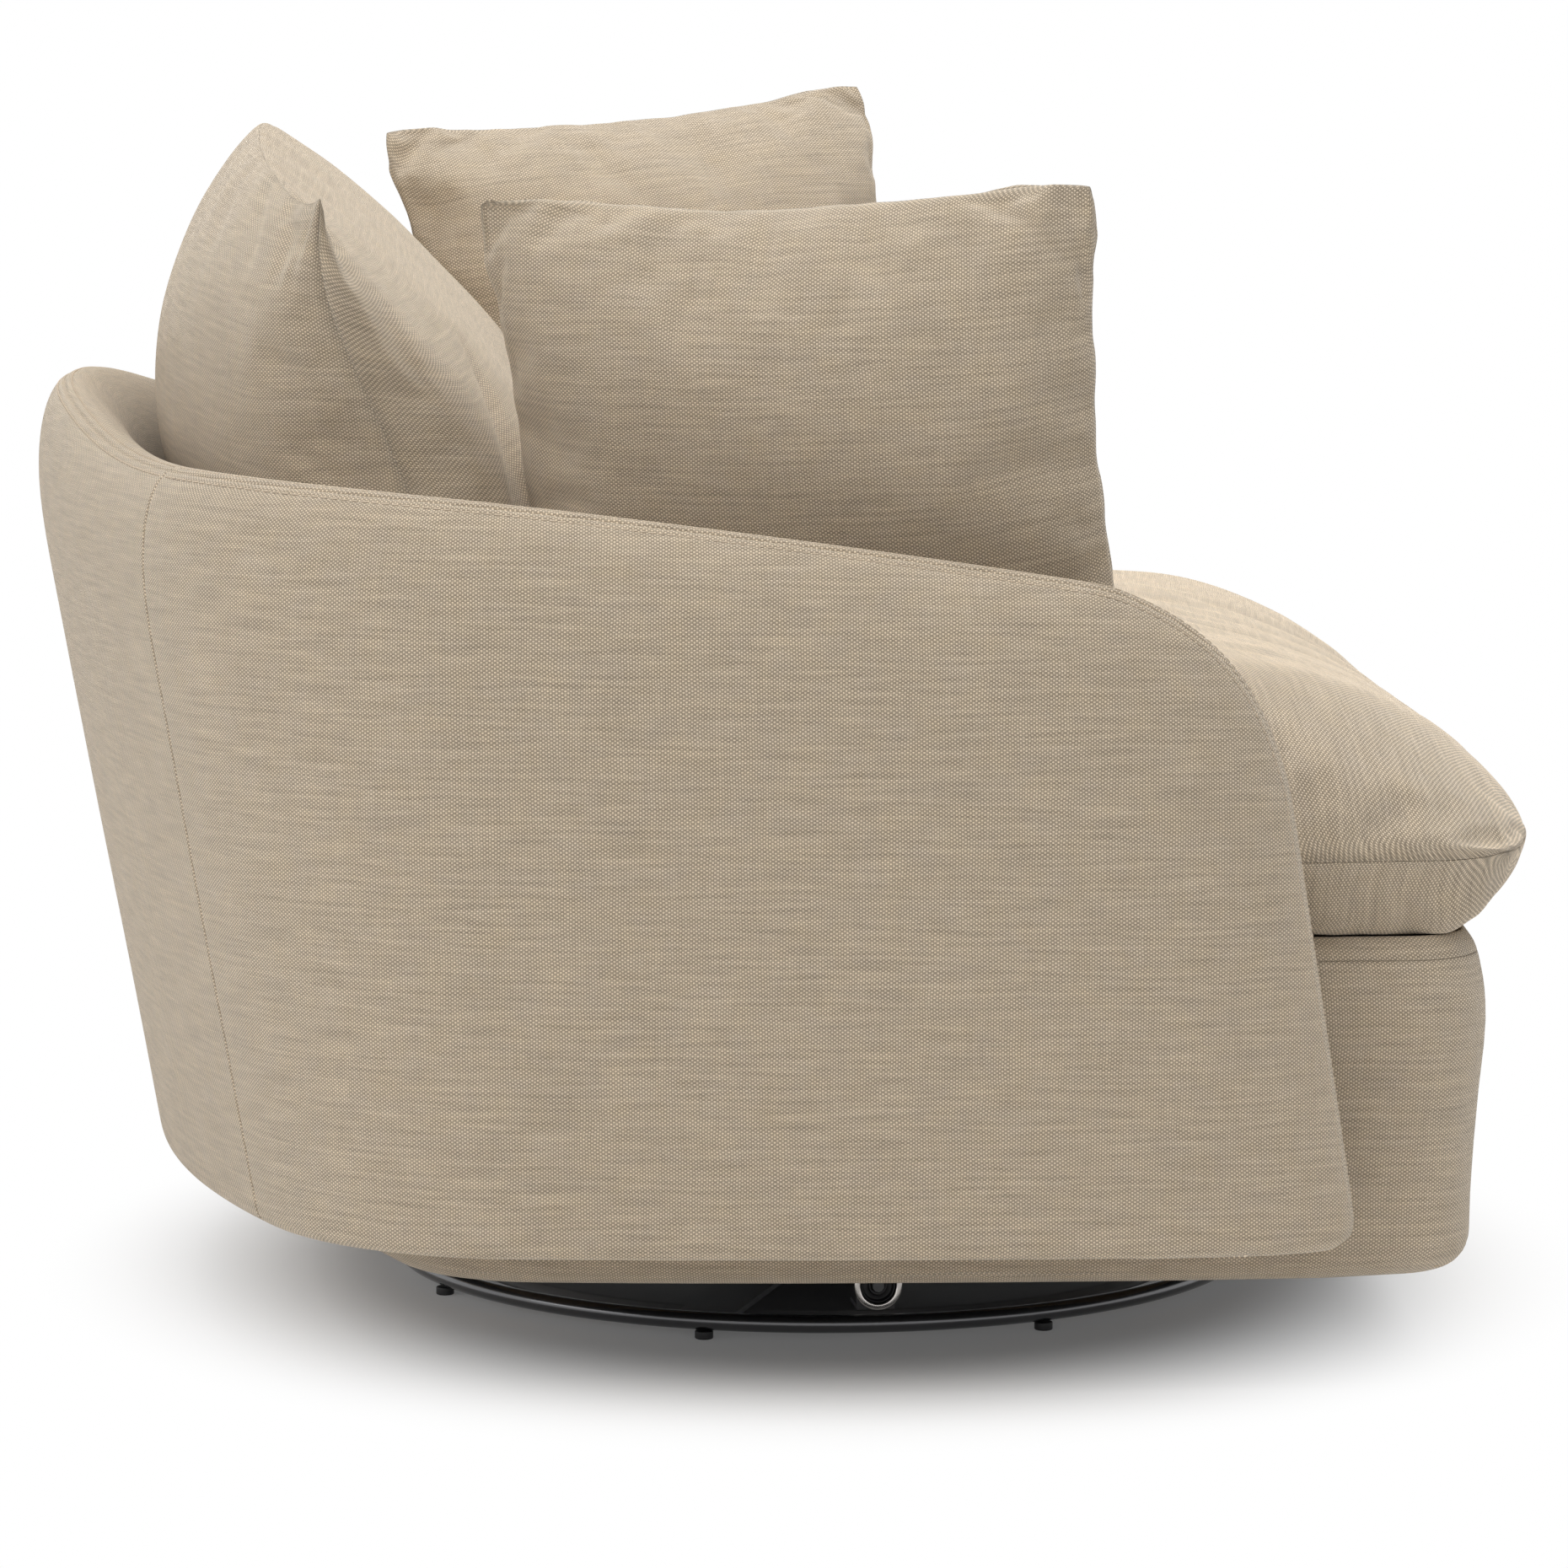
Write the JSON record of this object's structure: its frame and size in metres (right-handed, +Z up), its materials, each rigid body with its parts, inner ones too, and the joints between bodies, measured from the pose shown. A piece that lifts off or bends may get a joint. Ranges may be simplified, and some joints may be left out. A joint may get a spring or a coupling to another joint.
{
  "type": "swivel cuddle chair",
  "caption": "Wide round-backed upholstered tub chair with a deep loose seat cushion, a loose back cushion and scatter cushions, on a low round swivel base",
  "frame": {"origin": "on the floor, under the middle of the chair's overall box", "axes": "+Z is up, the sitter faces -Y and the sitter's left arm is on +X"},
  "size_m": [1.2026, 1.0234, 0.8405],
  "materials": {
    "fabric": "woven, matt",
    "black_steel": "gloss black",
    "grey_plate": "satin dark grey",
    "bright_steel": "bright",
    "zinc_steel": "zinc plated",
    "nylon": "moulded black",
    "timber": "sawn",
    "board": "plywood",
    "black_cloth": "non-woven",
    "deck_cloth": "lining cloth"
  },
  "bodies": {
    "base": {"floor_ring": "black_steel", "glide_1": "nylon", "glide_2": "nylon", "glide_3": "nylon", "glide_4": "nylon", "glide_5": "nylon", "glide_6": "nylon", "glide_7": "nylon", "glide_8": "nylon", "base_plate": "grey_plate", "base_strap_1": "grey_plate", "base_strap_2": "grey_plate", "base_strap_3": "grey_plate", "base_strap_4": "grey_plate", "pivot_boss": "black_steel", "thrust_bearing": "nylon", "pivot_nut": "zinc_steel", "pivot_bolt": "zinc_steel", "roller_bracket_1": "grey_plate", "roller_bracket_2": "grey_plate", "roller_bracket_3": "grey_plate", "roller_bracket_4": "grey_plate"},
    "roller_1": {"roller_tyre_1": "bright_steel", "roller_hub_1": "nylon"},
    "roller_2": {"roller_tyre_2": "bright_steel", "roller_hub_2": "nylon"},
    "roller_3": {"roller_tyre_3": "bright_steel", "roller_hub_3": "nylon"},
    "roller_4": {"roller_tyre_4": "bright_steel", "roller_hub_4": "nylon"},
    "seat_unit": {"turntable_plate": "zinc_steel", "swivel_board": "board", "bearer_front": "timber", "bearer_rear": "timber", "rail_front": "timber", "rail_rear": "timber", "rail_left": "timber", "rail_right": "timber", "seat_spring_1": "zinc_steel", "seat_spring_2": "zinc_steel", "seat_spring_3": "zinc_steel", "seat_spring_4": "zinc_steel", "seat_deck": "deck_cloth", "plinth_cover": "fabric", "dust_cover": "black_cloth", "tub_back": "fabric", "arm_left": "fabric", "arm_right": "fabric", "back_top_rail": "timber", "back_bottom_rail": "timber", "back_post_right": "timber", "back_post_centre": "timber", "back_post_left": "timber", "arm_panel_left": "board", "arm_panel_right": "board"},
    "seat_pad": {"seat_cushion": "fabric"},
    "back_pad": {"back_cushion": "fabric"},
    "scatter_right": {"scatter_cushion_right": "fabric"},
    "scatter_left": {"scatter_cushion_left": "fabric"}
  },
  "joints": [
    {"name": "swivel", "type": "hinge", "parent": "base", "child": "seat_unit", "pos_m": [0, -0.04177, 0.0525], "axis": [0, 0, 1], "continuous": true},
    {"name": "roller_1_spin", "type": "hinge", "parent": "base", "child": "roller_1", "pos_m": [-0.27088, -0.06642, 0.0319], "axis": [-0.9959, -0.0906, 0], "continuous": true},
    {"name": "roller_2_spin", "type": "hinge", "parent": "base", "child": "roller_2", "pos_m": [0.02465, -0.31265, 0.0319], "axis": [0.0906, -0.9959, 0], "continuous": true},
    {"name": "roller_3_spin", "type": "hinge", "parent": "base", "child": "roller_3", "pos_m": [0.27088, -0.01712, 0.0319], "axis": [0.9959, 0.0906, 0], "continuous": true},
    {"name": "roller_4_spin", "type": "hinge", "parent": "base", "child": "roller_4", "pos_m": [-0.02465, 0.22911, 0.0319], "axis": [-0.0906, 0.9959, 0], "continuous": true},
    {"name": "seat_cushion_lift", "type": "slide", "parent": "seat_unit", "child": "seat_pad", "axis": [0, 0, 1], "range_m": [0, 0.3]},
    {"name": "back_cushion_lift", "type": "slide", "parent": "seat_pad", "child": "back_pad", "axis": [0, 0, 1], "range_m": [0, 0.3]},
    {"name": "scatter_right_lift", "type": "slide", "parent": "back_pad", "child": "scatter_right", "axis": [0, -0.766, 0.6428], "range_m": [0, 0.3]},
    {"name": "scatter_left_lift", "type": "slide", "parent": "back_pad", "child": "scatter_left", "axis": [0, -0.766, 0.6428], "range_m": [0, 0.3]}
  ],
  "couplings": [
    {"joint": "roller_1_spin", "follows": "swivel", "ratio": -16.485},
    {"joint": "roller_2_spin", "follows": "swivel", "ratio": -16.485},
    {"joint": "roller_3_spin", "follows": "swivel", "ratio": -16.485},
    {"joint": "roller_4_spin", "follows": "swivel", "ratio": -16.485}
  ]
}
